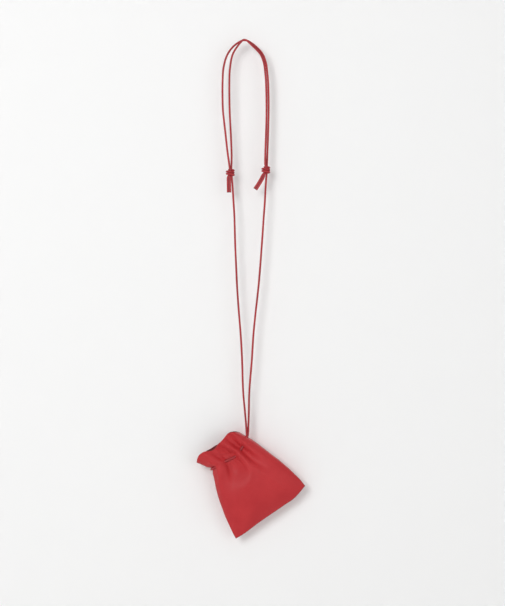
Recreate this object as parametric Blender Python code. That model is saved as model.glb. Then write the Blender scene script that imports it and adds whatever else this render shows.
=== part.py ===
"""Kinchaku: a drawstring pouch of thin red leather, hanging by its own cord.

Metres, +Z up. The origin is the point where the cord rests on a hook. The front of the pouch
faces -Y. One leather cord closes the neck and makes the strap: each of its two ends runs over the
hook and is tied round the other side of the cord with a sliding knot.
"""

import math

import bmesh
import bpy
import numpy as np

MM = 0.001

# The pouch, in its own frame: X along the base from the left corner, Y to the back, Z up the panels.
PANEL_THICKNESS = 1.2 * MM
SEAM_GAP = 0.3 * MM
POUCH_CORNER = (-13 * MM, 0, -744 * MM)
POUCH_TILT = math.radians(36.5)
SEAM_LENGTH = 125 * MM
GATHER_HEIGHT = 101 * MM
FOLDS_START = 48 * MM
FRILL_START = 105 * MM
FOLD_SPREAD = 0.5
EDGE_FULLNESS = 0.55
BASE_DROP_REACH = 25
COLUMNS = 34
EDGE_CROWDING = 0.4
ROW_HEIGHTS = (
    0, 3, 7, 12, 18, 25, 34, 43, 52, 60, 67, 73, 79, 84, 89, 93, 97, 100, 103, 106, 110, 114, 118, 122, 125
)

# The cord
CORD_DIAMETER = 3 * MM
CORD_GAP = 0.3 * MM
SLIT_CLEARANCE = 0.4 * MM
CORD_SIDES_RESOLUTION = 2
POINTS_APART = 3 * CORD_DIAMETER
NECK_POINTS_APART = 2 * CORD_DIAMETER
FINE_STEP = 0.25 * MM
BEND_A_POINT = math.radians(15)

# The sliding knots: turns round the strand that slides through and round the tied end's own tail
KNOT_TURNS = 2.5
KNOT_LEAD_IN = ((-1.1, -2.75, 5.2), (-0.8, -3.2, 2.6))
TURN_PITCH = CORD_DIAMETER + CORD_GAP + 0.05 * MM
TURN_HALF_WIDTH = 5.25 * MM
TURN_HALF_DEPTH = 3.7 * MM
POINTS_A_TURN = 16
LEFT_KNOT_TOP = (-21.5 * MM, 0, -193.3 * MM)
RIGHT_KNOT_TOP = (31.9 * MM, 0, -189.2 * MM)

# The cord's ends, opened out flat below the knots
TAB_WIDTH = 6.5 * MM
TAB_THICKNESS = 1.4 * MM
TAB_SIDES = 12
TAB_POINTS_APART = 1.6 * MM

# Places along the height of a seam, and where the seam lies there: (height, across), in millimetres
LEFT_SEAM = (
    (0, -1.5), (10, 0), (22, 2.6), (35, 5.4), (47, 9), (60, 12.9), (76, 19.1), (91, 26.1), (97, 28.6),
    (100.5, 31), (103.4, 32.8), (106.3, 31), (109.5, 27.8), (114, 25.4), (125, 19),
)
RIGHT_SEAM = (
    (0, 129.2), (11, 128.8), (20, 127.7), (28, 126.4), (37, 124.8), (46, 122.7), (55, 120.7), (64, 118),
    (74, 115.2), (83, 112.6), (92.5, 109.9), (101, 107.2), (111, 103.4), (125, 98),
)
# How far a panel stands out in the middle: (height, depth)
FULLNESS = ((0, 0), (3, 2.4), (7, 5.2), (15, 9.5), (30, 15), (50, 18), (70, 17.5), (90, 15), (125, 13))
# The folds across a panel, where the cord gathers it and at the mouth: (share of the width, depth)
FRONT_GATHER = (
    (0, 0), (0.02, 3), (0.045, 5), (0.068, 7.2), (0.095, 9.8), (0.15, 12), (0.22, 12), (0.275, 10.4),
    (0.315, 8.2), (0.36, 5.9), (0.42, 5.3), (0.48, 5.8), (0.54, 8.2), (0.595, 12), (0.645, 12.8),
    (0.682, 9.6), (0.708, 6.6), (0.735, 5.7), (0.765, 6.8), (0.8, 9.6), (0.87, 12), (0.94, 8),
    (0.975, 4.5), (1, 0),
)
FRONT_MOUTH = (
    (0, 0), (0.03, 4.5), (0.09, 9), (0.2, 13.5), (0.31, 10), (0.42, 7), (0.5, 9), (0.6, 14.5),
    (0.68, 12), (0.76, 8.5), (0.81, 9.5), (0.88, 12.5), (0.96, 7), (1, 0),
)
BACK_GATHER = (
    (0, 0), (0.02, 3), (0.045, 5), (0.07, 7.2), (0.1, 9.8), (0.17, 12), (0.25, 11.4), (0.315, 8.2),
    (0.36, 5.8), (0.41, 5.3), (0.46, 5.9), (0.51, 8.3), (0.57, 12), (0.63, 12), (0.68, 8.6),
    (0.71, 6.2), (0.745, 5.6), (0.78, 6.8), (0.82, 9.8), (0.88, 12), (0.94, 8), (0.975, 4.5), (1, 0),
)
BACK_MOUTH = (
    (0, 0), (0.03, 4.5), (0.09, 9), (0.2, 13), (0.3, 10), (0.4, 8), (0.5, 10), (0.6, 14), (0.68, 11.5),
    (0.75, 9), (0.8, 10), (0.88, 12.5), (0.96, 7), (1, 0),
)
# How far the mouth's edge stands above the seams' tops, and the base hangs below its corners
FRONT_MOUTH_RISE = (
    (0, 0), (0.05, 3.6), (0.1, 6.2), (0.18, 7.6), (0.25, 7.2), (0.33, 3), (0.4, 0.8), (0.47, 1.3),
    (0.53, 3.2), (0.6, 4.2), (0.68, 5.2), (0.76, 6.8), (0.82, 7.4), (0.92, 4.2), (1, -2),
)
BACK_MOUTH_RISE = (
    (0, 0), (0.12, 3.5), (0.26, 4.5), (0.36, 3.5), (0.45, 3), (0.56, 1.5), (0.68, 4), (0.82, 6),
    (0.92, 3), (1, -2),
)
BASE_DROP = (
    (0, 1.9), (0.05, 2.7), (0.12, 3.4), (0.2, 3.4), (0.3, 3.2), (0.5, 4), (0.68, 4.9), (0.82, 5.3),
    (0.93, 2.5), (1, 0),
)

# The cord round the neck, in the pouch's frame, in millimetres: out at the front beside the right
# seam, in and out through the front's slits, round the left seam, and back through the back's slits
NECK_ROUTE = (
    (106.9, -1.2, 117.8), (104.8, -1.4, 114.4), (103, -1.7, 111.5), (101.2, -2.2, 109.2),
    (98.6, -3.6, 107.4), (95.8, -5.6, 105.9), (92.6, -7.4, 104.7), (89, -8.4, 103.4), (86, -8.5, 102.2),
    (79, -8.6, 99.6), (72, -8.6, 98.4), (63, -8.5, 99.8), (54, -8.5, 101.6), (46, -8.5, 102.6),
    (39, -8.3, 103), (36.2, -7.6, 103.2), (33.8, -6.4, 103.3), (32, -4.6, 103.4), (31, -2.5, 103.4),
    (30.6, 0, 103.4), (31, 2.5, 103.4), (32, 4.6, 103.4), (33.8, 6.4, 103.3), (36.2, 7.6, 103.2),
    (39, 8.3, 103), (48, 8.5, 102.4), (58, 8.5, 101.4), (68, 8.5, 100.4), (78, 8.5, 100.4),
    (86, 8.5, 102.2), (89, 8.4, 103.4), (92.6, 7.4, 104.7), (95.8, 5.6, 105.9), (98.6, 3.6, 107.4),
    (101.3, 2.2, 109.2), (103.9, 1.7, 111), (106.4, 1.4, 113.2), (109.05, 1.2, 116.2),
)

# The strap's four strands, in the world frame, in millimetres. The inner loop rises on the left
# and the outer loop on the right, and each comes down the other side to its own knot.
INNER_THROUGH_ROUTE = (
    (2.84, -1.2, -585.3), (2.6, -1.1, -580), (2.2, -0.9, -574), (1.3, -0.6, -564), (0.2, -0.3, -552),
    (-1.1, 0, -539), (-2, 0, -527), (-2.7, 0, -512), (-3.2, 0, -494), (-4, 0, -472), (-5.7, 0, -442),
    (-8.6, 0, -406), (-11, 0, -372), (-12.8, 0, -334), (-14.2, 0, -300), (-14.8, 0, -278),
    (-15.3, 0, -262), (-16.2, 0, -247), (-17.1, 0, -233), (-17.8, 0, -221), (-18.4, 0, -213),
    (-19.2, 0, -205), (-19.8, 0, -199), (-19.85, 0, -193), (-19.6, 0, -184), (-19.4, 0, -172),
    (-20.1, 0, -150), (-21.2, 0, -128), (-22.3, 0, -106), (-22.75, 0, -84), (-22.8, 0, -62),
    (-22.4, 0, -47), (-21.3, 0, -36), (-20.1, -0.1, -28.5), (-17.4, -0.5, -19.2), (-14.6, -0.9, -14),
    (-11.6, -1.3, -9.7), (-8.4, -1.6, -5.2), (-5.4, -1.8, -1.8), (-2.8, -1.8, 0.8), (-1.3, -1.8, 1.46),
    (-0.15, -1.8, 1.5),
)
OUTER_THROUGH_ROUTE = (
    (5.55, 1.2, -585.3), (5.6, 1.1, -580.5), (5.8, 0.8, -575), (6.2, 0.4, -564), (6.5, 0.1, -552),
    (6.7, 0, -538), (7.4, 0, -522), (8.4, 0, -508), (9.6, 0, -494), (10.8, 0, -480), (11.9, 0, -462),
    (13.1, 0, -443), (14.8, 0, -424), (16.8, 0, -405), (19.1, 0, -385), (21.3, 0, -364),
    (23.1, 0, -343), (24.6, 0, -323), (26.1, 0, -303), (27.5, 0, -283), (28.8, 0, -263),
    (30.1, 0, -246), (30.9, 0, -232), (31.5, 0, -220), (32.2, 0, -210), (32.8, 0, -203),
    (33.2, 0, -197), (33.4, 0.1, -191), (33.7, 0.3, -183), (34.1, 0.5, -174), (34.6, 0.4, -160),
    (35.3, 0.3, -140), (35.9, 0.3, -119), (36.1, 0.3, -95), (35.7, 0.3, -71), (35.2, 0.3, -59),
    (34.1, 0.3, -47), (32.7, 0.3, -35.5), (30.7, 0.4, -28), (28.9, 0.5, -23), (26.1, 0.7, -17.9),
    (22.25, 1, -13.1), (17.6, 1.4, -8.6), (13.3, 1.6, -4.9), (9, 1.7, -1.9), (4.5, 1.8, 0.6),
    (1.3, 1.8, 1.44), (0.15, 1.8, 1.5),
)
INNER_END_ROUTE = (
    (0.15, -1.8, 1.5), (1.3, -1.8, 1.46), (2.8, -1.8, 0.8), (5, -1.8, -0.9), (8.2, -1.7, -3.9),
    (11.8, -1.6, -7.4), (15.6, -1.4, -11), (20.05, -1.1, -15.4), (23.6, -0.9, -19.7), (26, -0.7, -24),
    (27.6, -0.6, -28.4), (29.6, -0.5, -35.8), (31, -0.4, -47.4), (32, -0.3, -59), (32.5, -0.3, -71),
    (32.9, -0.3, -95), (32.75, -0.3, -119), (32.1, -0.4, -142), (31.4, -0.7, -160), (31.1, -1.2, -170),
    (30.9, -2, -178), (30.8, -2.7, -183.7),
)
OUTER_END_ROUTE = (
    (-0.15, 1.8, 1.5), (-1.3, 1.8, 1.44), (-4.5, 1.8, 0.6), (-9, 1.6, -1.9), (-14, 1.2, -5.4),
    (-18.6, 0.8, -9.9), (-22.1, 0.5, -14.3), (-25, 0.3, -18.9), (-28.1, 0.1, -26), (-30.5, 0, -34.8),
    (-32.1, 0, -44), (-32.8, 0, -56), (-32.95, 0, -88), (-32.3, 0, -106), (-30.9, 0, -119),
    (-29.2, 0, -134), (-27.1, -0.1, -153), (-25.1, -0.7, -170), (-23.5, -1.7, -181),
    (-22.6, -2.7, -187.8),
)

# The tails in the knots and the flat tabs below them: (x, y, z, openness), openness 0 round, 1 flat
LEFT_TAIL_ROUTE = (
    (-23.15, 0, -192, 0), (-23.15, 0, -197.6, 0), (-23.2, -0.2, -200.8, 0.1), (-23.4, -1, -203.3, 0.7),
    (-23.5, -1.3, -205.3, 1), (-23.5, -1.4, -213, 1), (-23.4, -1.2, -220, 1), (-23.3, -0.9, -227.3, 1),
)
RIGHT_TAIL_ROUTE = (
    (30.25, 0, -188, 0), (30.25, 0, -193.6, 0), (30.15, -0.3, -196.6, 0.05), (29.3, -1.7, -199.2, 0.45),
    (28.1, -2.3, -201.8, 0.85), (26.8, -2.3, -204.8, 1), (23.3, -1.5, -211.3, 1),
    (19.6, -0.7, -217.1, 1), (16, 0.2, -222.4, 1),
)

LEATHER_COLOUR = (0.474, 0.045, 0.050, 1)
CORD_COLOUR = (0.33, 0.030, 0.030, 1)
LEATHER_ROUGHNESS = 0.5
CORD_ROUGHNESS = 0.45


def clear_scene():
    for old in list(bpy.data.objects):
        bpy.data.objects.remove(old, do_unlink=True)


def material(name, colour, roughness):
    made = bpy.data.materials.new(name)
    made.use_nodes = True
    shader = made.node_tree.nodes["Principled BSDF"]
    shader.inputs["Base Color"].default_value = colour
    shader.inputs["Roughness"].default_value = roughness
    shader.inputs["Metallic"].default_value = 0
    return made


def frame_empty(name, location=(0, 0, 0), rotation=(0, 0, 0)):
    empty = bpy.data.objects.new(name, None)
    empty.location = location
    empty.rotation_euler = rotation
    bpy.context.scene.collection.objects.link(empty)
    return empty


def along(places_and_values, x):
    """The value at x of the smooth curve through the given (place, value) pairs."""
    places, values = np.array(places_and_values, float).T
    slopes = np.gradient(values, places)
    x = np.clip(x, places[0], places[-1])
    i = np.clip(np.searchsorted(places, x, side="right") - 1, 0, len(places) - 2)
    span = places[i + 1] - places[i]
    s = (x - places[i]) / span
    from_left = values[i] * (1 + 2 * s) * (1 - s) ** 2 + slopes[i] * span * s * (1 - s) ** 2
    from_right = values[i + 1] * s * s * (3 - 2 * s) - slopes[i + 1] * span * s * s * (1 - s)
    return from_left + from_right


def ease(x, low, high):
    s = np.clip((x - low) / (high - low), 0, 1)
    return s * s * (3 - 2 * s)


def smooth_route(route, apart):
    """Points along the smooth curve through the route, closer together where it bends.

    Each row of the route starts with a place, and what follows in the row changes evenly along it.
    """
    route = np.array(route, float)
    steps = np.linalg.norm(np.diff(route[:, :3], axis=0), axis=1)
    travelled = np.concatenate([[0], np.cumsum(steps)])
    fine = np.linspace(0, travelled[-1], math.ceil(travelled[-1] / FINE_STEP) + 1)
    curve = np.column_stack([along(np.column_stack([travelled, column]), fine) for column in route.T])
    runs = np.diff(curve[:, :3], axis=0)
    lengths = np.linalg.norm(runs, axis=1)
    headings = runs / lengths[:, None]
    bends = np.linalg.norm(np.diff(headings, axis=0, prepend=headings[:1]), axis=1)
    spent = np.concatenate([[0], np.cumsum(lengths / apart + bends / BEND_A_POINT)])
    wanted = np.linspace(0, spent[-1], max(2, round(spent[-1]) + 1))
    return np.column_stack([np.interp(wanted, spent, column) for column in curve.T])


def panel_grid(gather, mouth, mouth_rise, side):
    """The outer face of one panel as rows of points, in the pouch's frame: side is -1 in front, 1 behind."""
    share = np.linspace(0, 1, COLUMNS + 1)
    share = (1 - EDGE_CROWDING) * share + EDGE_CROWDING * (1 - np.cos(math.pi * share)) / 2
    rows = []
    for height in ROW_HEIGHTS:
        left, right = along(LEFT_SEAM, height), along(RIGHT_SEAM, height)
        folded = ease(height, FOLDS_START / MM, GATHER_HEIGHT / MM)
        at_mouth = ease(height, FRILL_START / MM, SEAM_LENGTH / MM)
        fold_share = share + FOLD_SPREAD * (1 - folded) * np.sin(2 * math.pi * share) / (2 * math.pi)
        full = along(FULLNESS, height) * (4 * share * (1 - share)) ** EDGE_FULLNESS
        folds = (1 - at_mouth) * along(gather, fold_share) + at_mouth * along(mouth, share)
        depth = (1 - folded) * full + folded * folds
        across = left + (right - left) * share
        drop = math.exp(-height / BASE_DROP_REACH) * along(BASE_DROP, share)
        up = height + at_mouth * along(mouth_rise, share) - drop
        outward = depth + (PANEL_THICKNESS + SEAM_GAP / 2) / MM
        rows.append(np.column_stack([across, side * outward, up]) * MM)
    return np.array(rows)


def inner_face(grid, side):
    """The panel's inner face: the outer one moved in by the leather's thickness, clear of the seam plane."""
    inward = np.cross(np.gradient(grid, axis=1), np.gradient(grid, axis=0))
    inward *= side / np.linalg.norm(inward, axis=2)[:, :, None]
    inner = grid + inward * PANEL_THICKNESS
    inner[:, :, 1] = side * np.maximum(side * inner[:, :, 1], SEAM_GAP / 2)
    return inner


def leather_panel(name, grid, side, leather, parent, slit_cutter):
    """One panel as a closed sheet, with the slits that the cord passes through."""
    shape = bmesh.new()
    outer = [[shape.verts.new(point) for point in row] for row in grid]
    inner = [[shape.verts.new(point) for point in row] for row in inner_face(grid, side)]
    last_row, last_column = len(outer) - 1, len(outer[0]) - 1
    for face in (outer, inner):
        for below, above in zip(face, face[1:]):
            for c in range(last_column):
                shape.faces.new((below[c], below[c + 1], above[c + 1], above[c]))
    for r in range(last_row):
        for c in (0, last_column):
            shape.faces.new((outer[r][c], outer[r + 1][c], inner[r + 1][c], inner[r][c]))
    for c in range(last_column):
        for r in (0, last_row):
            shape.faces.new((outer[r][c], outer[r][c + 1], inner[r][c + 1], inner[r][c]))
    bmesh.ops.recalc_face_normals(shape, faces=shape.faces)
    if shape.calc_volume(signed=True) < 0:
        bmesh.ops.reverse_faces(shape, faces=shape.faces)
    mesh = bpy.data.meshes.new(name)
    shape.to_mesh(mesh)
    shape.free()
    mesh.materials.append(leather)
    mesh.shade_smooth()
    panel = bpy.data.objects.new(name, mesh)
    bpy.context.scene.collection.objects.link(panel)
    panel.parent = parent
    slits = panel.modifiers.new("cord slits", "BOOLEAN")
    slits.operation = "DIFFERENCE"
    slits.object = slit_cutter
    return panel


def cord_curve(name, points, radius, cord_material, parent):
    """A round cord through the points, with closed ends."""
    curve = bpy.data.curves.new(name, "CURVE")
    curve.dimensions = "3D"
    curve.bevel_depth = radius
    curve.bevel_resolution = CORD_SIDES_RESOLUTION
    curve.use_fill_caps = True
    line = curve.splines.new("POLY")
    line.points.add(len(points) - 1)
    for point, place in zip(line.points, points):
        point.co = (*place[:3], 1)
    line.use_smooth = True
    if cord_material:
        curve.materials.append(cord_material)
    cord = bpy.data.objects.new(name, curve)
    bpy.context.scene.collection.objects.link(cord)
    cord.parent = parent
    return cord


def closed_mesh_of(curve_object, name, parent):
    """The curve's solid as a closed mesh object, for use as a cutter. The curve is removed."""
    bpy.context.view_layer.update()
    solid = curve_object.evaluated_get(bpy.context.evaluated_depsgraph_get())
    mesh = bpy.data.meshes.new_from_object(solid)
    shape = bmesh.new()
    shape.from_mesh(mesh)
    bmesh.ops.remove_doubles(shape, verts=shape.verts, dist=1e-6)
    bmesh.ops.recalc_face_normals(shape, faces=shape.faces)
    shape.to_mesh(mesh)
    shape.free()
    bpy.data.objects.remove(curve_object, do_unlink=True)
    cutter = bpy.data.objects.new(name, mesh)
    bpy.context.scene.collection.objects.link(cutter)
    cutter.parent = parent
    cutter.hide_render = True
    cutter.display_type = "WIRE"
    return cutter


def knot_turns(top):
    """The knot's coil: a lead-in from the strand above, then turns that go down to the right in front."""
    centre_x, centre_y, top_z = top
    lead_in = [(centre_x + x * MM, centre_y + y * MM, top_z + z * MM) for x, y, z in KNOT_LEAD_IN]
    turns = []
    for i in range(1, int(KNOT_TURNS * POINTS_A_TURN) + 1):
        angle = -math.pi / 2 + 2 * math.pi * i / POINTS_A_TURN
        x = centre_x + TURN_HALF_WIDTH * math.cos(angle)
        y = centre_y + TURN_HALF_DEPTH * math.sin(angle)
        turns.append((x, y, top_z - TURN_PITCH * i / POINTS_A_TURN))
    return lead_in + turns


def cord_end_tab(name, route, cord_material, parent):
    """The cord's end: round inside the knot, then opened out into a flat tab that faces the front."""
    points = smooth_route(np.array(route) * (MM, MM, MM, 1), TAB_POINTS_APART)
    directions = np.gradient(points[:, :3], axis=0)
    directions /= np.linalg.norm(directions, axis=1)[:, None]
    shape = bmesh.new()
    rings = []
    for (x, y, z, open_share), direction in zip(points, directions):
        wide = np.cross(direction, (0, 1, 0))
        wide /= np.linalg.norm(wide)
        thin = np.cross(direction, wide)
        open_share = min(max(open_share, 0), 1)
        half_width = (1 - open_share) * CORD_DIAMETER / 2 + open_share * TAB_WIDTH / 2
        half_thickness = (1 - open_share) * CORD_DIAMETER / 2 + open_share * TAB_THICKNESS / 2
        ring = []
        for k in range(TAB_SIDES):
            angle = 2 * math.pi * k / TAB_SIDES
            offset = wide * half_width * math.cos(angle) + thin * half_thickness * math.sin(angle)
            ring.append(shape.verts.new(np.array((x, y, z)) + offset))
        rings.append(ring)
    for above, below in zip(rings, rings[1:]):
        for k in range(TAB_SIDES):
            after = (k + 1) % TAB_SIDES
            shape.faces.new((above[k], above[after], below[after], below[k]))
    shape.faces.new(rings[0])
    shape.faces.new(rings[-1])
    bmesh.ops.recalc_face_normals(shape, faces=shape.faces)
    mesh = bpy.data.meshes.new(name)
    shape.to_mesh(mesh)
    shape.free()
    mesh.materials.append(cord_material)
    mesh.shade_smooth()
    tab = bpy.data.objects.new(name, mesh)
    bpy.context.scene.collection.objects.link(tab)
    tab.parent = parent
    return tab


def make_pouch(leather, cord_leather):
    pouch = frame_empty("pouch_frame", POUCH_CORNER, (0, -POUCH_TILT, 0))
    neck = smooth_route(np.array(NECK_ROUTE) * MM, NECK_POINTS_APART)
    slit_path = cord_curve("slit path", neck, CORD_DIAMETER / 2 + SLIT_CLEARANCE, None, pouch)
    slit_cutter = closed_mesh_of(slit_path, "slit cutter", pouch)
    front = panel_grid(FRONT_GATHER, FRONT_MOUTH, FRONT_MOUTH_RISE, -1)
    back = panel_grid(BACK_GATHER, BACK_MOUTH, BACK_MOUTH_RISE, 1)
    leather_panel("pouch_front_panel", front, -1, leather, pouch, slit_cutter)
    leather_panel("pouch_back_panel", back, 1, leather, pouch, slit_cutter)
    cord_curve("neck_drawstring", neck, CORD_DIAMETER / 2, cord_leather, pouch)


def make_strap(cord_leather):
    strap = frame_empty("strap_frame")
    routes = {
        "strap_inner_through_strand": INNER_THROUGH_ROUTE,
        "strap_outer_through_strand": OUTER_THROUGH_ROUTE,
        "strap_inner_end_strand": INNER_END_ROUTE,
        "strap_outer_end_strand": OUTER_END_ROUTE,
    }
    for name, route in routes.items():
        points = smooth_route(np.array(route) * MM, POINTS_APART)
        cord_curve(name, points, CORD_DIAMETER / 2, cord_leather, strap)


def make_knot(side, top, tail_route, cord_leather):
    knot = frame_empty(side + "_knot_frame")
    cord_curve(side + "_knot", knot_turns(top), CORD_DIAMETER / 2, cord_leather, knot)
    cord_end_tab(side + "_cord_end", tail_route, cord_leather, knot)


clear_scene()
POUCH_LEATHER = material("red leather", LEATHER_COLOUR, LEATHER_ROUGHNESS)
CORD_LEATHER = material("red leather cord", CORD_COLOUR, CORD_ROUGHNESS)
make_pouch(POUCH_LEATHER, CORD_LEATHER)
make_strap(CORD_LEATHER)
make_knot("left", LEFT_KNOT_TOP, LEFT_TAIL_ROUTE, CORD_LEATHER)
make_knot("right", RIGHT_KNOT_TOP, RIGHT_TAIL_ROUTE, CORD_LEATHER)
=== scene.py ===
import math

import bmesh
import bpy
import numpy as np
from mathutils import Euler, Matrix, Vector


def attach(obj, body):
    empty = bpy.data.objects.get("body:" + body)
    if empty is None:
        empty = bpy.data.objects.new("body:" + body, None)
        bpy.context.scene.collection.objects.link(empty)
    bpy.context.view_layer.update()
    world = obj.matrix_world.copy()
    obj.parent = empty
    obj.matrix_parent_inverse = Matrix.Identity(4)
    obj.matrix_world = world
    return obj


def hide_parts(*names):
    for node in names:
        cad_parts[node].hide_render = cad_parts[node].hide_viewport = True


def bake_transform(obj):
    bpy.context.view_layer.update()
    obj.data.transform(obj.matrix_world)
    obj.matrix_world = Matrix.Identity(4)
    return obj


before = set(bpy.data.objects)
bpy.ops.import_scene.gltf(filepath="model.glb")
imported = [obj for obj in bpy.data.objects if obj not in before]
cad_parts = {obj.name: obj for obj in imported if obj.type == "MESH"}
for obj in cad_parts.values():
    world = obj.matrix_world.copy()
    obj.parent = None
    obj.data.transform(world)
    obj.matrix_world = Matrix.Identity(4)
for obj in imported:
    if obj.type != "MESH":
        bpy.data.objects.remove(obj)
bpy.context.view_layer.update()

MM = 0.001

# ---------------------------------------------------------------- sizes, repeated from the CAD
PANEL_THICKNESS = 1.2 * MM
POUCH_CORNER = (-13 * MM, 0, -744 * MM)
POUCH_TILT = math.radians(36.5)
SEAM_LENGTH = 125
GATHER_HEIGHT = 101
FOLDS_START = 48
FRILL_START = 105
FOLD_SPREAD = 0.5
EDGE_FULLNESS = 0.55
CORD_DIAMETER = 3 * MM
SLIT_CLEARANCE = 0.4 * MM
KNOT_TURNS = 2.5
KNOT_LEAD_IN = ((-1.1, -2.75, 5.2), (-0.8, -3.2, 2.6))
POINTS_A_TURN = 24
TURN_PITCH = 3.35 * MM
TURN_HALF_WIDTH = 5.25 * MM
TURN_HALF_DEPTH = 3.7 * MM
LEFT_KNOT_TOP = (-21.5 * MM, 0, -193.3 * MM)
RIGHT_KNOT_TOP = (31.9 * MM, 0, -189.2 * MM)
TAB_WIDTH = 6.5 * MM
TAB_THICKNESS = 1.4 * MM

LEFT_SEAM = (
    (0, -1.5), (10, 0), (22, 2.6), (35, 5.4), (47, 9), (60, 12.9), (76, 19.1), (91, 26.1), (97, 28.6),
    (100.5, 31), (103.4, 32.8), (106.3, 31), (109.5, 27.8), (114, 25.4), (125, 19),
)
RIGHT_SEAM = (
    (0, 129.2), (11, 128.8), (20, 127.7), (28, 126.4), (37, 124.8), (46, 122.7), (55, 120.7), (64, 118),
    (74, 115.2), (83, 112.6), (92.5, 109.9), (101, 107.2), (111, 103.4), (125, 98),
)
FULLNESS = ((0, 0), (3, 2.4), (7, 5.2), (15, 9.5), (30, 15), (50, 18), (70, 17.5), (90, 15), (125, 13))
FRONT_GATHER = (
    (0, 0), (0.02, 3), (0.045, 5), (0.068, 7.2), (0.095, 9.8), (0.15, 12), (0.22, 12), (0.275, 10.4),
    (0.315, 8.2), (0.36, 5.9), (0.42, 5.3), (0.48, 5.8), (0.54, 8.2), (0.595, 12), (0.645, 12.8),
    (0.682, 9.6), (0.708, 6.6), (0.735, 5.7), (0.765, 6.8), (0.8, 9.6), (0.87, 12), (0.94, 8),
    (0.975, 4.5), (1, 0),
)
FRONT_MOUTH = (
    (0, 0), (0.03, 4.5), (0.09, 9), (0.2, 13.5), (0.31, 10), (0.42, 7), (0.5, 9), (0.6, 14.5),
    (0.68, 12), (0.76, 8.5), (0.81, 9.5), (0.88, 12.5), (0.96, 7), (1, 0),
)
BACK_GATHER = (
    (0, 0), (0.02, 3), (0.045, 5), (0.07, 7.2), (0.1, 9.8), (0.17, 12), (0.25, 11.4), (0.315, 8.2),
    (0.36, 5.8), (0.41, 5.3), (0.46, 5.9), (0.51, 8.3), (0.57, 12), (0.63, 12), (0.68, 8.6),
    (0.71, 6.2), (0.745, 5.6), (0.78, 6.8), (0.82, 9.8), (0.88, 12), (0.94, 8), (0.975, 4.5), (1, 0),
)
BACK_MOUTH = (
    (0, 0), (0.03, 4.5), (0.09, 9), (0.2, 13), (0.3, 10), (0.4, 8), (0.5, 10), (0.6, 14), (0.68, 11.5),
    (0.75, 9), (0.8, 10), (0.88, 12.5), (0.96, 7), (1, 0),
)
FRONT_MOUTH_RISE = (
    (0, 0), (0.05, 3.6), (0.1, 6.2), (0.18, 7.6), (0.25, 7.2), (0.33, 3), (0.4, 0.8), (0.47, 1.3),
    (0.53, 3.2), (0.6, 4.2), (0.68, 5.2), (0.76, 6.8), (0.82, 7.4), (0.92, 4.2), (1, -2),
)
BACK_MOUTH_RISE = (
    (0, 0), (0.12, 3.5), (0.26, 4.5), (0.36, 3.5), (0.45, 3), (0.56, 1.5), (0.68, 4), (0.82, 6),
    (0.92, 3), (1, -2),
)
BASE_DROP = (
    (0, 1.9), (0.05, 2.7), (0.12, 3.4), (0.2, 3.4), (0.3, 3.2), (0.5, 4), (0.68, 4.9), (0.82, 5.3),
    (0.93, 2.5), (1, 0),
)

# Cord routes: the neck's in the pouch's frame, the strap's in the row frame
NECK_ROUTE = (
    (106.9, -1.2, 117.8), (104.8, -1.4, 114.4), (103, -1.7, 111.5), (101.2, -2.2, 109.2),
    (98.6, -3.6, 107.4), (95.8, -5.6, 105.9), (92.6, -7.4, 104.7), (89, -8.4, 103.4), (86, -8.5, 102.2),
    (79, -8.6, 99.6), (72, -8.6, 98.4), (63, -8.5, 99.8), (54, -8.5, 101.6), (46, -8.5, 102.6),
    (39, -8.3, 103), (36.2, -7.6, 103.2), (33.8, -6.4, 103.3), (32, -4.6, 103.4), (31, -2.5, 103.4),
    (30.6, 0, 103.4), (31, 2.5, 103.4), (32, 4.6, 103.4), (33.8, 6.4, 103.3), (36.2, 7.6, 103.2),
    (39, 8.3, 103), (48, 8.5, 102.4), (58, 8.5, 101.4), (68, 8.5, 100.4), (78, 8.5, 100.4),
    (86, 8.5, 102.2), (89, 8.4, 103.4), (92.6, 7.4, 104.7), (95.8, 5.6, 105.9), (98.6, 3.6, 107.4),
    (101.3, 2.2, 109.2), (103.9, 1.7, 111), (106.4, 1.4, 113.2), (109.05, 1.2, 116.2),
)
INNER_THROUGH_ROUTE = (
    (2.84, -1.2, -585.3), (2.6, -1.1, -580), (2.2, -0.9, -574), (1.3, -0.6, -564), (0.2, -0.3, -552),
    (-1.1, 0, -539), (-2, 0, -527), (-2.7, 0, -512), (-3.2, 0, -494), (-4, 0, -472), (-5.7, 0, -442),
    (-8.6, 0, -406), (-11, 0, -372), (-12.8, 0, -334), (-14.2, 0, -300), (-14.8, 0, -278),
    (-15.3, 0, -262), (-16.2, 0, -247), (-17.1, 0, -233), (-17.8, 0, -221), (-18.4, 0, -213),
    (-19.2, 0, -205), (-19.8, 0, -199), (-19.85, 0, -193), (-19.6, 0, -184), (-19.4, 0, -172),
    (-20.1, 0, -150), (-21.2, 0, -128), (-22.3, 0, -106), (-22.75, 0, -84), (-22.8, 0, -62),
    (-22.4, 0, -47), (-21.3, 0, -36), (-20.1, -0.1, -28.5), (-17.4, -0.5, -19.2), (-14.6, -0.9, -14),
    (-11.6, -1.3, -9.7), (-8.4, -1.6, -5.2), (-5.4, -1.8, -1.8), (-2.8, -1.8, 0.8), (-1.3, -1.8, 1.46),
    (-0.15, -1.8, 1.5),
)
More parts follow.
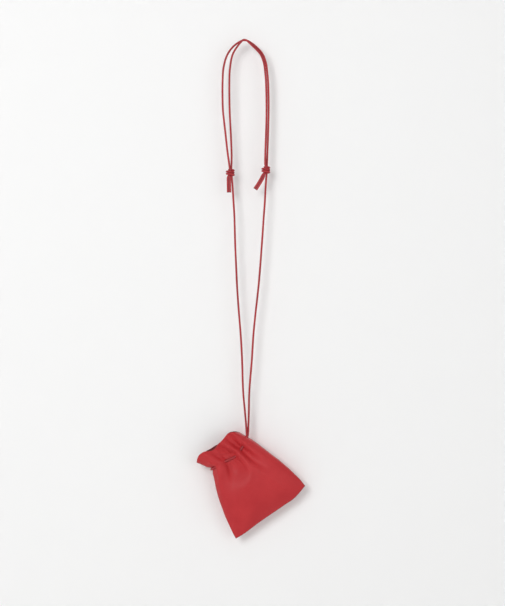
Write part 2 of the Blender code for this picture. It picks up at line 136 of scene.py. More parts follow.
OUTER_THROUGH_ROUTE = (
    (5.55, 1.2, -585.3), (5.6, 1.1, -580.5), (5.8, 0.8, -575), (6.2, 0.4, -564), (6.5, 0.1, -552),
    (6.7, 0, -538), (7.4, 0, -522), (8.4, 0, -508), (9.6, 0, -494), (10.8, 0, -480), (11.9, 0, -462),
    (13.1, 0, -443), (14.8, 0, -424), (16.8, 0, -405), (19.1, 0, -385), (21.3, 0, -364),
    (23.1, 0, -343), (24.6, 0, -323), (26.1, 0, -303), (27.5, 0, -283), (28.8, 0, -263),
    (30.1, 0, -246), (30.9, 0, -232), (31.5, 0, -220), (32.2, 0, -210), (32.8, 0, -203),
    (33.2, 0, -197), (33.4, 0.1, -191), (33.7, 0.3, -183), (34.1, 0.5, -174), (34.6, 0.4, -160),
    (35.3, 0.3, -140), (35.9, 0.3, -119), (36.1, 0.3, -95), (35.7, 0.3, -71), (35.2, 0.3, -59),
    (34.1, 0.3, -47), (32.7, 0.3, -35.5), (30.7, 0.4, -28), (28.9, 0.5, -23), (26.1, 0.7, -17.9),
    (22.25, 1, -13.1), (17.6, 1.4, -8.6), (13.3, 1.6, -4.9), (9, 1.7, -1.9), (4.5, 1.8, 0.6),
    (1.3, 1.8, 1.44), (0.15, 1.8, 1.5),
)
INNER_END_ROUTE = (
    (0.15, -1.8, 1.5), (1.3, -1.8, 1.46), (2.8, -1.8, 0.8), (5, -1.8, -0.9), (8.2, -1.7, -3.9),
    (11.8, -1.6, -7.4), (15.6, -1.4, -11), (20.05, -1.1, -15.4), (23.6, -0.9, -19.7), (26, -0.7, -24),
    (27.6, -0.6, -28.4), (29.6, -0.5, -35.8), (31, -0.4, -47.4), (32, -0.3, -59), (32.5, -0.3, -71),
    (32.9, -0.3, -95), (32.75, -0.3, -119), (32.1, -0.4, -142), (31.4, -0.7, -160), (31.1, -1.2, -170),
    (30.9, -2, -178), (30.8, -2.7, -183.7),
)
OUTER_END_ROUTE = (
    (-0.15, 1.8, 1.5), (-1.3, 1.8, 1.44), (-4.5, 1.8, 0.6), (-9, 1.6, -1.9), (-14, 1.2, -5.4),
    (-18.6, 0.8, -9.9), (-22.1, 0.5, -14.3), (-25, 0.3, -18.9), (-28.1, 0.1, -26), (-30.5, 0, -34.8),
    (-32.1, 0, -44), (-32.8, 0, -56), (-32.95, 0, -88), (-32.3, 0, -106), (-30.9, 0, -119),
    (-29.2, 0, -134), (-27.1, -0.1, -153), (-25.1, -0.7, -170), (-23.5, -1.7, -181),
    (-22.6, -2.7, -187.8),
)
LEFT_TAIL_ROUTE = (
    (-23.15, 0, -192, 0), (-23.15, 0, -197.6, 0), (-23.2, -0.2, -200.8, 0.1), (-23.4, -1, -203.3, 0.7),
    (-23.5, -1.3, -205.3, 1), (-23.5, -1.4, -213, 1), (-23.4, -1.2, -220, 1), (-23.3, -0.9, -227.3, 1),
)
RIGHT_TAIL_ROUTE = (
    (30.25, 0, -188, 0), (30.25, 0, -193.6, 0), (30.15, -0.3, -196.6, 0.05), (29.3, -1.7, -199.2, 0.45),
    (28.1, -2.3, -201.8, 0.85), (26.8, -2.3, -204.8, 1), (23.3, -1.5, -211.3, 1),
    (19.6, -0.7, -217.1, 1), (16, 0.2, -222.4, 1),
)

# Lines on a panel where the leather is creased or stands up, in the pouch's frame.
# Each point is (across, up, height, width) in millimetres.
FRONT_CREASES = (
    # the fold right of the middle stretch runs on down and round a shallow dimple
    ((79, 101, 0, 5), (81.5, 90, 1.6, 6), (80.5, 78, 1.8, 6.5), (76, 66, 1.4, 6.5), (65, 58, 1.2, 6),
     (52, 58, 0.8, 6), (42, 65, 0, 6)),
    # the hollow below the middle stretch
    ((57, 95, 0, 6), (58, 88, -1.6, 8), (59, 79, -2.6, 10), (60, 70, -1.2, 9), (60, 64, 0, 8)),
    # the fold along the left edge
    ((43, 101, 0, 5), (37, 92, 1.4, 5), (28, 79, 1.5, 5), (20, 64, 0.7, 5), (15, 52, 0, 5)),
    # a soft crease down the right side
    ((84, 80, 0, 4), (88, 62, 0.9, 5), (97, 41, 0.9, 5), (99, 24, 0.8, 5), (102, 8, 0, 4)),
    # fine creases that fan out from the slits, above and below
    ((54.5, 101, 0, 1.4), (52.5, 107, -0.7, 1.5), (48.5, 118, -0.5, 2), (46.5, 126, 0, 2)),
    ((57.5, 102, 0, 1.3), (57.5, 108, -0.6, 1.4), (56.5, 118, -0.6, 1.7), (56, 128, -0.3, 2)),
    ((61, 101.5, 0, 1.3), (62, 107, -0.45, 1.3), (61, 116, -0.5, 1.8), (60, 126, -0.2, 2)),
    ((65.5, 100, 0, 1.3), (68, 107, -0.7, 1.5), (67, 116, -0.6, 1.8), (64, 126, 0, 2)),
    ((71, 99.5, 0, 1.4), (72.8, 106, -0.7, 1.6), (71.5, 114, -0.4, 2), (68, 122, 0, 2)),
    ((83, 103.5, 0, 1.4), (81.8, 110, -0.7, 1.5), (79, 119, -0.6, 1.8), (77, 128, -0.2, 2)),
    ((86, 105, 0, 1.4), (86, 111, -0.6, 1.5), (84.5, 119, -0.5, 1.8), (83, 130, -0.2, 2)),
    ((89, 104.5, 0, 1.4), (91.5, 110, -0.5, 1.5), (92.5, 118, -0.4, 2), (92, 128, 0, 2)),
    ((37.6, 104.5, 0, 1.3), (35, 110, -0.6, 1.5), (30.5, 118, -0.4, 2), (27, 126, 0, 2)),
    ((54.8, 98.5, 0, 1.3), (54, 92, -0.7, 1.5), (50, 82, -0.5, 2.2), (45, 72, 0, 2.5)),
    ((59.5, 97.5, 0, 1.2), (60, 92, -0.35, 1.4), (60.5, 86, 0, 1.8)),
    ((65.5, 96.5, 0, 1.2), (66.5, 91, -0.4, 1.4), (67, 84, 0, 1.8)),
    ((71, 96, 0, 1.3), (73, 89, -0.7, 1.6), (73.5, 80, -0.5, 2.2), (71, 70, 0, 2.5)),
    ((83, 98.5, 0, 1.3), (85.5, 90, -0.6, 1.6), (88, 79, -0.4, 2.2), (91, 68, 0, 2.5)),
    ((88.5, 100.5, 0, 1.3), (92.5, 92, -0.6, 1.6), (97, 81, -0.4, 2.2), (101, 70, 0, 2.5)),
    ((37.6, 101, 0, 1.3), (34.5, 95, -0.6, 1.5), (30, 86, -0.4, 2), (26, 77, 0, 2.2)),
    ((101, 107, 0, 1.3), (100.5, 101, -0.4, 1.5), (102, 93, -0.3, 2), (104, 84, 0, 2)),
)
BACK_CREASES = (
    ((77, 101, 0, 5), (79, 90, 1.4, 6), (77, 77, 1.5, 6.5), (70, 66, 1.0, 6.5), (60, 60, 0, 6)),
    ((43, 101, 0, 5), (37, 91, 1.3, 5), (28, 78, 1.3, 5), (20, 62, 0, 5)),
    ((60, 95, 0, 6), (60, 86, -1.4, 8), (58, 76, -1.6, 9), (57, 68, 0, 8)),
    ((88, 84, 0, 4), (94, 64, 0.8, 5), (99, 42, 0.7, 5), (104, 22, 0, 4)),
    ((52, 101.5, 0, 1.4), (49, 108, -0.7, 1.5), (46, 118, -0.5, 2), (44, 126, 0, 2)),
    ((57, 102, 0, 1.3), (57, 108, -0.6, 1.4), (57, 118, -0.6, 1.7), (57, 128, -0.3, 2)),
    ((66.5, 101, 0, 1.3), (68.5, 108, -0.7, 1.5), (68, 117, -0.6, 1.8), (66, 126, 0, 2)),
    ((82, 102.5, 0, 1.4), (81, 109, -0.7, 1.5), (79, 119, -0.6, 1.8), (78, 128, -0.2, 2)),
    ((92, 105, 0, 1.4), (93, 111, -0.5, 1.5), (93, 118, -0.4, 2), (92, 128, 0, 2)),
    ((37.6, 104.5, 0, 1.3), (35, 110, -0.6, 1.5), (30.5, 118, -0.4, 2), (27, 126, 0, 2)),
    ((52, 98.5, 0, 1.3), (50, 92, -0.7, 1.5), (46, 82, -0.5, 2.2), (41, 72, 0, 2.5)),
    ((62, 97.5, 0, 1.2), (63, 91, -0.4, 1.4), (63.5, 84, 0, 1.8)),
    ((68, 97, 0, 1.3), (71, 89, -0.7, 1.6), (72, 80, -0.5, 2.2), (70, 70, 0, 2.5)),
    ((82, 98, 0, 1.3), (86, 90, -0.6, 1.6), (90, 79, -0.4, 2.2), (94, 66, 0, 2.5)),
    ((37.6, 101, 0, 1.3), (34.5, 95, -0.6, 1.5), (30, 86, -0.4, 2), (26, 77, 0, 2.2)),
)

# ---------------------------------------------------------------- the camera, floor, wall and lights
FRAME_CENTRE = (11.9 * MM, -393 * MM)
FRAME_HEIGHT = 909 * MM
LENS_MM = 85
SENSOR_MM = 36
WALL_PLACE = 21 * MM
WALL_HALF_WIDTH = 4
WALL_TOP = 4
FLOOR_PLACE = -0.95
FLOOR_HALF_WIDTH = 6


def add_object(name, data):
    made = bpy.data.objects.new(name, data)
    bpy.context.scene.collection.objects.link(made)
    return made


def make_camera():
    data = bpy.data.cameras.new("camera")
    data.lens = LENS_MM
    data.sensor_width = SENSOR_MM
    camera = add_object("camera", data)
    camera.location = (FRAME_CENTRE[0], -FRAME_HEIGHT * LENS_MM / SENSOR_MM, FRAME_CENTRE[1])
    camera.rotation_euler = (math.pi / 2, 0, 0)
    bpy.context.scene.camera = camera


def area_light(name, place, target, size, power, colour=(1, 1, 1)):
    data = bpy.data.lights.new(name, "AREA")
    data.shape = "DISK"
    data.size = size
    data.energy = power
    data.color = colour
    light = add_object(name, data)
    light.location = place
    light.rotation_euler = (Vector(target) - Vector(place)).to_track_quat("-Z", "Y").to_euler()


def stage_plane(name, corners, stage_material):
    mesh = bpy.data.meshes.new(name)
    mesh.from_pydata(corners, [], [(0, 1, 2, 3)])
    mesh.materials.append(stage_material)
    plane = add_object(name, mesh)
    return plane


def matt_paint(name, colour):
    made = bpy.data.materials.new(name)
    made.use_nodes = True
    shader = made.node_tree.nodes["Principled BSDF"]
    shader.inputs["Base Color"].default_value = colour
    shader.inputs["Roughness"].default_value = 0.9
    shader.inputs["Specular IOR Level"].default_value = 0.15
    return made


def wall_material():
    """Pale matt paint in front, and nothing seen from behind, so that the back of the pouch shows."""
    made = matt_paint("stage wall paint", (0.86, 0.86, 0.86, 1))
    nodes, links = made.node_tree.nodes, made.node_tree.links
    shader = nodes["Principled BSDF"]
    geometry = nodes.new("ShaderNodeNewGeometry")
    clear = nodes.new("ShaderNodeBsdfTransparent")
    mix = nodes.new("ShaderNodeMixShader")
    links.new(geometry.outputs["Backfacing"], mix.inputs[0])
    links.new(shader.outputs[0], mix.inputs[1])
    links.new(clear.outputs[0], mix.inputs[2])
    links.new(mix.outputs[0], nodes["Material Output"].inputs["Surface"])
    return made


def make_stage():
    side, top, foot = WALL_HALF_WIDTH, WALL_TOP, FLOOR_PLACE
    wall = stage_plane(
        "stage_wall",
        [(x, WALL_PLACE, z) for x, z in ((-side, foot), (side, foot), (side, top), (-side, top))],
        wall_material(),
    )
    wall.visible_shadow = False
    edge = FLOOR_HALF_WIDTH
    stage_plane(
        "stage_floor",
        [(x, y, FLOOR_PLACE) for x, y in ((-edge, -edge), (edge, -edge), (edge, edge), (-edge, edge))],
        matt_paint("stage floor paint", (0.80, 0.80, 0.79, 1)),
    )


def make_lights():
    middle = (0, 0, -0.5)
    area_light("key light", (-1.4, -3.1, 0.75), middle, 1.7, 58)
    area_light("fill light", (2.2, -3.0, -0.4), middle, 2.4, 19)
    area_light("back light", (0.8, 2.4, 0.5), middle, 1.6, 14)
    world = bpy.data.worlds.new("studio")
    world.use_nodes = True
    background = world.node_tree.nodes["Background"]
    background.inputs["Color"].default_value = (1, 1, 1, 1)
    background.inputs["Strength"].default_value = 0.5
    bpy.context.scene.world = world
    bpy.context.scene.view_settings.view_transform = "Standard"


# ---------------------------------------------------------------- materials
class Nodes:
    """A material's node tree, with short ways to add nodes to it."""

    def __init__(self, name):
        self.material = bpy.data.materials.new(name)
        self.material.use_nodes = True
        self.tree = self.material.node_tree
        self.shader = self.tree.nodes["Principled BSDF"]
        self.place = self.add("ShaderNodeTexCoord").outputs["Object"]

    def add(self, kind, **settings):
        node = self.tree.nodes.new(kind)
        for key, value in settings.items():
            setattr(node, key, value)
        return node

    def put(self, socket, value):
        if isinstance(value, bpy.types.NodeSocket):
            self.tree.links.new(value, socket)
        else:
            socket.default_value = value

    def noise(self, scale, detail=3, roughness=0.5, place=None):
        node = self.add("ShaderNodeTexNoise")
        self.put(node.inputs["Vector"], place or self.place)
        self.put(node.inputs["Scale"], scale)
        self.put(node.inputs["Detail"], detail)
        self.put(node.inputs["Roughness"], roughness)
        return node.outputs["Fac"]

    def cells(self, scale, feature="F1", randomness=1, place=None):
        node = self.add("ShaderNodeTexVoronoi", feature=feature)
        self.put(node.inputs["Vector"], place or self.place)
        self.put(node.inputs["Scale"], scale)
        self.put(node.inputs["Randomness"], randomness)
        return node.outputs["Distance"]

    def ramp(self, value, low, high, to_low=0.0, to_high=1.0):
        node = self.add("ShaderNodeMapRange")
        self.put(node.inputs["Value"], value)
        self.put(node.inputs["From Min"], low)
        self.put(node.inputs["From Max"], high)
        self.put(node.inputs["To Min"], to_low)
        self.put(node.inputs["To Max"], to_high)
        return node.outputs["Result"]

    def math(self, operation, a, b=0.0):
        node = self.add("ShaderNodeMath", operation=operation)
        self.put(node.inputs[0], a)
        self.put(node.inputs[1], b)
        return node.outputs[0]

    def mix(self, share, a, b):
        node = self.add("ShaderNodeMix", data_type="RGBA")
        self.put(node.inputs[0], share)
        self.put(node.inputs[6], a)
        self.put(node.inputs[7], b)
        return node.outputs[2]

    def attribute(self, name):
        return self.add("ShaderNodeAttribute", attribute_name=name).outputs["Fac"]

    def from_seam_plane(self):
        """How far in front of or behind the plane of the side seams a place is."""
        node = self.add("ShaderNodeSeparateXYZ")
        self.put(node.inputs[0], self.place)
        return self.math("ABSOLUTE", node.outputs["Y"])

    def bump(self, height, distance, strength=1.0, under=None):
        node = self.add("ShaderNodeBump")
        self.put(node.inputs["Height"], height)
        self.put(node.inputs["Distance"], distance)
        self.put(node.inputs["Strength"], strength)
        if under:
            self.put(node.inputs["Normal"], under)
        return node.outputs["Normal"]


def outer_leather():
    """The grain side of the panels: fine pebble, faint creases, and painted shade along the turned seams."""
    n = Nodes("red leather grain side")
    tone = n.ramp(n.noise(35, 4), 0.3, 0.7)
    colour = n.mix(tone, (0.440, 0.019, 0.024, 1), (0.495, 0.026, 0.031, 1))
    fine = n.ramp(n.noise(900, 3), 0.35, 0.65)
    colour = n.mix(n.math("MULTIPLY", fine, 0.18), colour, (0.33, 0.018, 0.021, 1))
    # Painted shade: the colour darkens near the seam plane, where the turned leather rounds away from the
    # light.
    painted_seam_shade = n.ramp(n.from_seam_plane(), 0.5 * MM, 1.9 * MM, 0.9, 0.0)
    colour = n.mix(painted_seam_shade, colour, (0.120, 0.014, 0.022, 1))
    n.put(n.shader.inputs["Base Color"], colour)
    n.put(n.shader.inputs["Roughness"], n.ramp(n.noise(160, 3), 0.3, 0.7, 0.46, 0.56))
    n.put(n.shader.inputs["Specular IOR Level"], 0.28)
    pebble = n.ramp(n.cells(1500, "DISTANCE_TO_EDGE"), 0.0, 0.12)
    creases = n.ramp(n.cells(260, "DISTANCE_TO_EDGE"), 0.0, 0.05)
    soft = n.bump(n.noise(60, 3), 0.5 * MM, 0.35)
    with_creases = n.bump(creases, 0.05 * MM, 0.25, soft)
    n.put(n.shader.inputs["Normal"], n.bump(pebble, 0.05 * MM, 0.5, with_creases))
    return n.material


def flesh_leather():
    """The inside of the panels: unlined suede, duller than the grain side, and darker, partly its own colour
    and partly painted shade.
    """
    n = Nodes("red leather flesh side")
    tone = n.ramp(n.noise(420, 5, 0.7), 0.3, 0.7)
    # Partly painted shade: these dark reds give the suede's own colour and also stand in for the shade
    # inside the pouch.
    colour = n.mix(tone, (0.150, 0.022, 0.024, 1), (0.270, 0.052, 0.052, 1))
    n.put(n.shader.inputs["Base Color"], colour)
    n.put(n.shader.inputs["Roughness"], 0.9)
    n.put(n.shader.inputs["Specular IOR Level"], 0.2)
    n.put(n.shader.inputs["Sheen Weight"], 0.25)
    n.put(n.shader.inputs["Normal"], n.bump(n.noise(2200, 4, 0.7), 0.15 * MM, 0.7))
    return n.material


def cut_edge_leather():
    """The raw edge at the mouth and in the slits, with the fibres' layers showing."""
    n = Nodes("red leather cut edge")
    colour = n.mix(n.noise(1500, 4, 0.7), (0.075, 0.012, 0.014, 1), (0.200, 0.030, 0.032, 1))
    n.put(n.shader.inputs["Base Color"], colour)
    n.put(n.shader.inputs["Roughness"], 0.85)
    n.put(n.shader.inputs["Specular IOR Level"], 0.2)
    n.put(n.shader.inputs["Normal"], n.bump(n.noise(3000, 3), 0.1 * MM, 0.6))
    return n.material


def cord_leather():
    """The rolled leather cord: a smooth skin, with a dark seam where the strip's edges meet."""
    n = Nodes("red leather cord skin")
    tone = n.ramp(n.noise(120, 4), 0.3, 0.7)
    skin = n.mix(tone, (0.345, 0.024, 0.031, 1), (0.420, 0.034, 0.041, 1))
    seam = n.attribute("seam")
    colour = n.mix(n.math("MULTIPLY", seam, 0.8), skin, (0.085, 0.012, 0.014, 1))
    n.put(n.shader.inputs["Base Color"], colour)
    n.put(n.shader.inputs["Roughness"], n.ramp(n.noise(300, 3), 0.3, 0.7, 0.42, 0.54))
    n.put(n.shader.inputs["Specular IOR Level"], 0.32)
    pebble = n.ramp(n.cells(1700, "DISTANCE_TO_EDGE"), 0.0, 0.12)
    wrinkles = n.bump(n.noise(500, 4), 0.12 * MM, 0.5)
    n.put(n.shader.inputs["Normal"], n.bump(pebble, 0.04 * MM, 0.5, wrinkles))
    return n.material


# ---------------------------------------------------------------- curves
def along(places_and_values, x):
    """The value at x of the smooth curve through the given (place, value) pairs."""
    places, values = np.array(places_and_values, float).T
    slopes = np.gradient(values, places)
    x = np.clip(x, places[0], places[-1])
    i = np.clip(np.searchsorted(places, x, side="right") - 1, 0, len(places) - 2)
    span = places[i + 1] - places[i]
    s = (x - places[i]) / span
    from_left = values[i] * (1 + 2 * s) * (1 - s) ** 2 + slopes[i] * span * s * (1 - s) ** 2
    from_right = values[i + 1] * s * s * (3 - 2 * s) - slopes[i + 1] * span * s * s * (1 - s)
    return from_left + from_right


def ease(x, low, high):
    s = np.clip((x - low) / (high - low), 0, 1)
    return s * s * (3 - 2 * s)


def smooth_route(route, apart):
    """Evenly spaced points on the smooth curve through the route."""
    route = np.array(route, float)
    steps = np.linalg.norm(np.diff(route[:, :3], axis=0), axis=1)
    travelled = np.concatenate([[0], np.cumsum(steps)])
    places = np.linspace(0, travelled[-1], max(2, round(travelled[-1] / apart) + 1))
    return np.column_stack([along(np.column_stack([travelled, column]), places) for column in route.T])


def carried_frames(points):
    """A direction and two crosswise axes at each point, carried along with no twist."""
    directions = np.gradient(points, axis=0)
    directions /= np.linalg.norm(directions, axis=1)[:, None]
    side = np.cross(directions[0], (0, 1, 0))
    if np.linalg.norm(side) < 0.1:
        side = np.cross(directions[0], (1, 0, 0))
    sides = []
    for direction in directions:
        side = side - direction * np.dot(side, direction)
        side = side / np.linalg.norm(side)
        sides.append(side)
    sides = np.array(sides)
    return directions, sides, np.cross(directions, sides)


# ---------------------------------------------------------------- meshes
def tube_faces(rings, sides):
    """The faces of a closed tube whose points come ring by ring: its wall, then its two end caps."""
    faces = []
    for r in range(rings - 1):
        for k in range(sides):
            after = (k + 1) % sides
            a, b = r * sides, (r + 1) * sides
            faces.append((a + k, a + after, b + after, b + k))
    last = (rings - 1) * sides
    faces.append(tuple(range(sides - 1, -1, -1)))
    faces.append(tuple(range(last, last + sides)))
    return faces


def new_mesh(name, verts, faces, materials):
    mesh = bpy.data.meshes.new(name)
    mesh.from_pydata([tuple(v) for v in verts], [], faces)
    for made in materials:
        mesh.materials.append(made)
    return mesh


def face_outward(mesh):
    shape = bmesh.new()
    shape.from_mesh(mesh)
    bmesh.ops.recalc_face_normals(shape, faces=shape.faces)
    if shape.calc_volume(signed=True) < 0:
        bmesh.ops.reverse_faces(shape, faces=shape.faces)
    shape.to_mesh(mesh)
    shape.free()


def add_seam(mesh, values):
    """Marks how strongly each point of a cord shows the dark seam."""
    mesh.attributes.new("seam", "FLOAT", "POINT").data.foreach_set("value", np.array(values, np.float32))


def smooth_shaded(mesh, sharp_degrees):
    mesh.shade_smooth()
    mesh.set_sharp_from_angle(angle=math.radians(sharp_degrees))


# ---------------------------------------------------------------- the cord
CORD_SIDES = 20
SEAM_DEPTH = 0.22 * MM
SEAM_HALF_ANGLE = 0.16
SEAM_START = 0.6
CORD_TWIST_EVERY = 190 * MM
CORD_STEP = 1.5 * MM
END_OVERLAP = 0.5 * MM
TAB_STEP = 0.5 * MM
TAB_SIDES = 28


def lengthened(points, by):
    """The points with both ends carried on a little, so that two tubes that meet leave no gap."""
    before, after = points[0] - points[1], points[-1] - points[-2]
    first = points[0] + by * before / np.linalg.norm(before)
    last = points[-1] + by * after / np.linalg.norm(after)
    return np.vstack([first, points, last])


def cord_tube(name, points, skin, swell_seed):
    """A rolled leather cord along the points: round, with a fine seam that winds slowly round it."""
    points = lengthened(np.array(points)[:, :3], END_OVERLAP)
    _, sides, ups = carried_frames(points)
    travelled = np.concatenate([[0], np.cumsum(np.linalg.norm(np.diff(points, axis=0), axis=1))])
    angles = 2 * math.pi * np.arange(CORD_SIDES) / CORD_SIDES
    notch = np.exp(-((np.minimum(angles, 2 * math.pi - angles) / SEAM_HALF_ANGLE) ** 2))
    verts, seam_values = [], []
    chance = np.random.default_rng(swell_seed)
    phases = chance.uniform(0, 2 * math.pi, 3)
    for centre, side, up, place in zip(points, sides, ups, travelled):
        swell = 0.018 * math.sin(place / 0.021 + phases[0]) + 0.012 * math.sin(place / 0.0083 + phases[1])
        twist = 2 * math.pi * place / CORD_TWIST_EVERY + 0.25 * math.sin(place / 0.03 + phases[2])
        turned = angles + SEAM_START + twist
        radius = CORD_DIAMETER / 2 * (1 + swell) - SEAM_DEPTH * notch
        ring = centre + (np.cos(turned) * radius)[:, None] * side + (np.sin(turned) * radius)[:, None] * up
        verts.extend(ring)
        seam_values.extend(notch)
    mesh = new_mesh(name, verts, tube_faces(len(points), CORD_SIDES), [skin])
    add_seam(mesh, seam_values)
    smooth_shaded(mesh, 60)
    return add_object(name, mesh)


def make_strap(skin):
    """The strap's four strands, each a cord along its route. Those that slide through the knots run from the
    strap down to the pouch.
    """
    through = (
        ("cord_inner_through", INNER_THROUGH_ROUTE, "strap_inner_through_strand"),
        ("cord_outer_through", OUTER_THROUGH_ROUTE, "strap_outer_through_strand"),
    )
    for name, route, node in through:
        points = smooth_route(np.array(route) * MM, CORD_STEP)
        strand = cord_tube(name, points, skin, swell_seed=len(name))
        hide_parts(node)
        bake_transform(strand)
    ends = (
        ("cord_inner_end", INNER_END_ROUTE, "strap_inner_end_strand", "right_knot", "right"),
        ("cord_outer_end", OUTER_END_ROUTE, "strap_outer_end_strand", "left_knot", "left"),
    )
    for name, route, node, body, side in ends:
        points = smooth_route(np.array(route) * MM, CORD_STEP)
        strand = cord_tube(name, points, skin, swell_seed=len(name))
        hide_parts(node)
        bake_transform(strand)


def knot_path(top):
    """The knot's centreline: a lead-in from the strand above, then turns, down to the right in front."""
    centre_x, centre_y, top_z = top
    points = [(centre_x + x * MM, centre_y + y * MM, top_z + z * MM) for x, y, z in KNOT_LEAD_IN]
    for i in range(2, int(KNOT_TURNS * POINTS_A_TURN) + 1):
        angle = -math.pi / 2 + 2 * math.pi * i / POINTS_A_TURN
        x = centre_x + TURN_HALF_WIDTH * math.cos(angle)
        y = centre_y + TURN_HALF_DEPTH * math.sin(angle)
        points.append((x, y, top_z - TURN_PITCH * i / POINTS_A_TURN))
    return points


def make_knot(side, top, skin):
    turns = cord_tube(side + "_knot_turns", smooth_route(knot_path(top), 0.7 * MM), skin, swell_seed=5)
    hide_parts(side + "_knot")
    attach(turns, side + "_knot")


def end_tab(side, route, skin, cut_edge, wrinkle):
    """The cord's end: rolled inside the knot, then opened out flat, its seam a fold line down the middle."""
    points = smooth_route(np.array(route) * (MM, MM, MM, 1), TAB_STEP)
    places = points[:, :3]
    directions = np.gradient(places, axis=0)
    directions /= np.linalg.norm(directions, axis=1)[:, None]
    open_shares = np.clip(points[:, 3], 0, 1)
    verts, seam_values = [], []
    for i, (centre, direction, open_share) in enumerate(zip(places, directions, open_shares)):
        wide = np.cross(direction, (0, 1, 0))
        wide /= np.linalg.norm(wide)
        thin = np.cross(direction, wide)
        half_width = (1 - open_share) * CORD_DIAMETER / 2 + open_share * TAB_WIDTH / 2
        half_thickness = (1 - open_share) * CORD_DIAMETER / 2 + open_share * TAB_THICKNESS / 2
        squareness = 1 - 0.35 * open_share
        for k in range(TAB_SIDES):
            angle = 2 * math.pi * k / TAB_SIDES
            across = math.copysign(abs(math.cos(angle)) ** squareness, math.cos(angle))
            out = math.copysign(abs(math.sin(angle)) ** squareness, math.sin(angle))
            fold = math.exp(-((across * half_width / (0.35 * MM)) ** 2)) * open_share
            dark_end = math.exp(-(((len(places) - 1 - i) * TAB_STEP / (0.7 * MM)) ** 2))
            thickness = half_thickness * (1 - 0.4 * fold)
            curl = open_share * 0.35 * MM * (across * across)
            ripple = wrinkle * open_share * math.sin(i * 0.55) * (1 - 0.3 * across)
            verts.append(centre + wide * half_width * across + thin * (thickness * out + (curl + ripple)))
            seam_values.append(max(fold, dark_end))
    name = side + "_end_tab"
    faces = tube_faces(len(places), TAB_SIDES)
    mesh = new_mesh(name, verts, faces, [skin, cut_edge])
    add_seam(mesh, seam_values)
    mesh.polygons[len(faces) - 1].material_index = 1
    face_outward(mesh)
    smooth_shaded(mesh, 50)
    tab = add_object(name, mesh)
    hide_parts(side + "_cord_end")
    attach(tab, side + "_knot")


# ---------------------------------------------------------------- the pouch
SEAM_GAP = 0.02 * MM  # far less than the CAD has, as the seams are sewn shut
POUCH_MATRIX = Matrix.Translation(POUCH_CORNER) @ Euler((0, -POUCH_TILT, 0)).to_matrix().to_4x4()
EDGE_ROUNDING = 1.35
EDGE_STEPS = (0, 0.08, 0.3, 0.62, 1.0, 1.4, 2.0)
PANEL_COLUMNS = 200
PANEL_ROWS = 200
PUCKER_PITCH = 3.2
PUCKER_HEIGHT = 0.10
CUTTER_SIDES = 20
OUTER, FLESH, CUT_EDGE = range(3)


def creased(across, up, creases):
    """How far the creases lift a panel at each place. A crease's height and width change along it."""
    lift = np.zeros_like(across)
    for crease in creases:
        line = smooth_route(np.array([(x, y, 0, height, width) for x, y, height, width in crease]), 1.0)
        gaps = np.hypot(across[..., None] - line[:, 0], up[..., None] - line[:, 1])
        nearest = gaps.argmin(axis=-1)
        lift += line[nearest, 3] * np.exp(-((gaps.min(axis=-1) / line[nearest, 4]) ** 2))
    return lift


def panel_grid(gather, mouth, mouth_rise, creases, side):
    """The outer face of one panel as rows of points, in the pouch's frame, in metres."""
    edge = np.array(EDGE_STEPS) / 100
    share = np.concatenate([edge, np.linspace(edge[-1], 1 - edge[-1], PANEL_COLUMNS)[1:-1], 1 - edge[::-1]])
    heights = np.concatenate([EDGE_STEPS, np.linspace(EDGE_STEPS[-1], SEAM_LENGTH, PANEL_ROWS)[1:]])
    rows = []
    for height in heights:
        left, right = along(LEFT_SEAM, height), along(RIGHT_SEAM, height)
        folded = ease(height, FOLDS_START, GATHER_HEIGHT)
        at_mouth = ease(height, FRILL_START, SEAM_LENGTH)
        fold_share = share + FOLD_SPREAD * (1 - folded) * np.sin(2 * math.pi * share) / (2 * math.pi)
        full = along(FULLNESS, height) * (4 * share * (1 - share)) ** EDGE_FULLNESS
        folds = (1 - at_mouth) * along(gather, fold_share) + at_mouth * along(mouth, share)
        depth = (1 - folded) * full + folded * folds
        across = left + (right - left) * share
        up = height + at_mouth * along(mouth_rise, share) - math.exp(-height / 25) * along(BASE_DROP, share)
        from_side = np.minimum(share, 1 - share) * (right - left)
        depth = depth + ease(from_side, 0, 4) * creased(across, up, creases)
        by_seam = np.exp(-((from_side - 1.6) / 1.1) ** 2) * np.sin(2 * math.pi * height / PUCKER_PITCH)
        by_base = math.exp(-((height - 1.6) / 1.1) ** 2) * np.sin(2 * math.pi * across / PUCKER_PITCH)
        depth = depth + PUCKER_HEIGHT * (by_seam * (1 - at_mouth) + by_base)
        near = np.clip(1 - np.minimum(from_side, EDGE_ROUNDING) / EDGE_ROUNDING, 0, 1)
        near_base = np.clip(1 - min(height, EDGE_ROUNDING) / EDGE_ROUNDING, 0, 1)
        rounding = EDGE_ROUNDING * np.sqrt(np.clip(1 - near ** 2, 0, 1)) * math.sqrt(1 - near_base ** 2)
        outward = np.maximum(depth, 0) + rounding + SEAM_GAP / (2 * MM)
        rows.append(np.column_stack([across, side * outward, up]) * MM)
    return np.array(rows)


def inner_face(grid, side):
    """The panel's inner face: the outer one moved in by the leather's thickness, clear of the seam plane."""
    inward = np.cross(np.gradient(grid, axis=1), np.gradient(grid, axis=0))
    inward *= side / np.linalg.norm(inward, axis=2)[:, :, None]
    inner = grid + inward * PANEL_THICKNESS
    inner[:, :, 1] = side * np.maximum(side * inner[:, :, 1], SEAM_GAP / 2)
    return inner


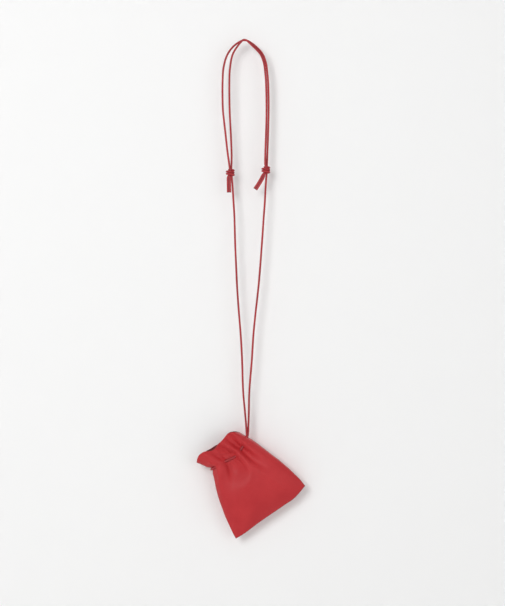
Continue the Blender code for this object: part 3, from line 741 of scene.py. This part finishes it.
def slit_cutter(leathers):
    """A fat copy of the neck cord. Where it cuts the panels are the slits, with a raw edge all round."""
    points = smooth_route(np.array(NECK_ROUTE) * MM, 1.2 * MM)
    _, sides, ups = carried_frames(points)
    angles = 2 * math.pi * np.arange(CUTTER_SIDES) / CUTTER_SIDES
    radius = CORD_DIAMETER / 2 + SLIT_CLEARANCE
    verts = []
    across, out = (np.cos(angles) * radius)[:, None], (np.sin(angles) * radius)[:, None]
    for centre, side, up in zip(points, sides, ups):
        verts.extend(centre + across * side + out * up)
    mesh = new_mesh("slit_cutter", verts, tube_faces(len(points), CUTTER_SIDES), leathers)
    mesh.polygons.foreach_set("material_index", [CUT_EDGE] * len(mesh.polygons))
    face_outward(mesh)
    return add_object("slit_cutter", mesh)


def apply_modifiers(piece):
    bpy.context.view_layer.update()
    solid = piece.evaluated_get(bpy.context.evaluated_depsgraph_get())
    old = piece.data
    name = old.name
    piece.data = bpy.data.meshes.new_from_object(solid)
    piece.modifiers.clear()
    bpy.data.meshes.remove(old)
    piece.data.name = name


def panel(name, node, grid, side, leathers, cutter):
    """A panel as a closed sheet: grain side out, flesh side in, cut edges, and slits for the cord."""
    inner = inner_face(grid, side)
    rows, columns = grid.shape[:2]
    verts = np.concatenate([grid.reshape(-1, 3), inner.reshape(-1, 3)])
    under = rows * columns
    faces, slots = [], []
    for r in range(rows - 1):
        for c in range(columns - 1):
            a, b = r * columns + c, r * columns + c + 1
            d, e = b + columns, a + columns
            faces.append((a, b, d, e))
            faces.append((under + e, under + d, under + b, under + a))
            slots.extend((OUTER, FLESH))
    for r in range(rows - 1):
        for c in (0, columns - 1):
            a, b = r * columns + c, (r + 1) * columns + c
            faces.append((a, b, under + b, under + a))
            slots.append(OUTER)
    for c in range(columns - 1):
        for r in (0, rows - 1):
            a, b = r * columns + c, r * columns + c + 1
            faces.append((a, b, under + b, under + a))
            slots.append(CUT_EDGE if r else OUTER)
    mesh = new_mesh(name, verts, faces, leathers)
    mesh.polygons.foreach_set("material_index", slots)
    face_outward(mesh)
    piece = add_object(name, mesh)
    cut = piece.modifiers.new("slits", "BOOLEAN")
    cut.operation = "DIFFERENCE"
    cut.solver = "MANIFOLD"
    cut.object = cutter
    apply_modifiers(piece)
    smooth_shaded(piece.data, 45)
    piece.data.transform(POUCH_MATRIX)
    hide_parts(node)
    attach(piece, "pouch")
    return piece


def make_pouch(leathers, skin):
    cutter = slit_cutter(leathers)
    front = panel_grid(FRONT_GATHER, FRONT_MOUTH, FRONT_MOUTH_RISE, FRONT_CREASES, -1)
    back = panel_grid(BACK_GATHER, BACK_MOUTH, BACK_MOUTH_RISE, BACK_CREASES, 1)
    panel("front_leather", "pouch_front_panel", front, -1, leathers, cutter)
    panel("back_leather", "pouch_back_panel", back, 1, leathers, cutter)
    bpy.data.objects.remove(cutter, do_unlink=True)
    neck = cord_tube("cord_neck", smooth_route(np.array(NECK_ROUTE) * MM, 1.0 * MM), skin, swell_seed=3)
    neck.data.transform(POUCH_MATRIX)
    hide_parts("neck_drawstring")
    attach(neck, "pouch")


make_camera()
make_stage()
make_lights()
CORD = cord_leather()
LEATHERS = (outer_leather(), flesh_leather(), cut_edge_leather())
make_knot("left", LEFT_KNOT_TOP, CORD)
make_knot("right", RIGHT_KNOT_TOP, CORD)
end_tab("left", LEFT_TAIL_ROUTE, CORD, LEATHERS[CUT_EDGE], 0.0)
end_tab("right", RIGHT_TAIL_ROUTE, CORD, LEATHERS[CUT_EDGE], 0.12 * MM)
make_strap(CORD)
make_pouch(LEATHERS, CORD)
